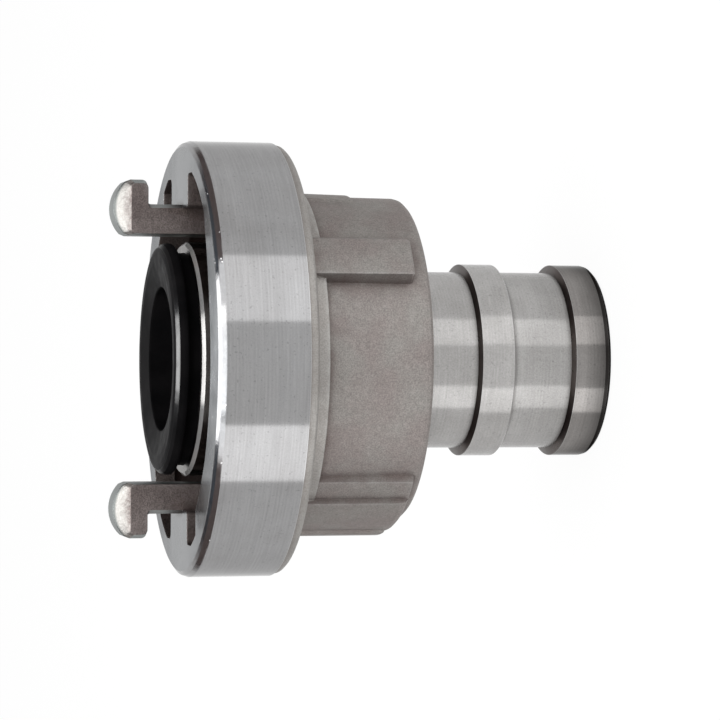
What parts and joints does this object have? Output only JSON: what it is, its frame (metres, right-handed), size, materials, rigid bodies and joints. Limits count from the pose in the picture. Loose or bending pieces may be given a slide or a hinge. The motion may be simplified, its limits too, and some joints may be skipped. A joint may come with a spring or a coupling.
{
  "type": "quarter turn fire hose coupling",
  "caption": "Claw-type quarter turn coupling for a small fire hose: a ring head with two lugs and ramped lips that turns on a beaded hose tail, with a rubber face seal.",
  "frame": {"origin": "centre of the hose end, on the surface it stands on", "axes": "+Z along the waterway from the hose end to the claws; +X through the two claws"},
  "size_m": [0.055, 0.055, 0.0622],
  "materials": {
    "cast_aluminium": "sand-blasted casting, turned on the ring's outside and face",
    "turned_aluminium": "turned",
    "black_rubber": "smooth moulded",
    "spring_steel": "plain"
  },
  "bodies": {
    "tail": {"hose_tail": "turned_aluminium", "seal": "black_rubber", "snap_ring": "spring_steel"},
    "head": {"coupling_head": "cast_aluminium"}
  },
  "joints": [
    {"name": "head_swivel", "type": "hinge", "parent": "tail", "child": "head", "pos_m": [0, 0, 0.0365], "axis": [0, 0, 1], "continuous": true}
  ]
}
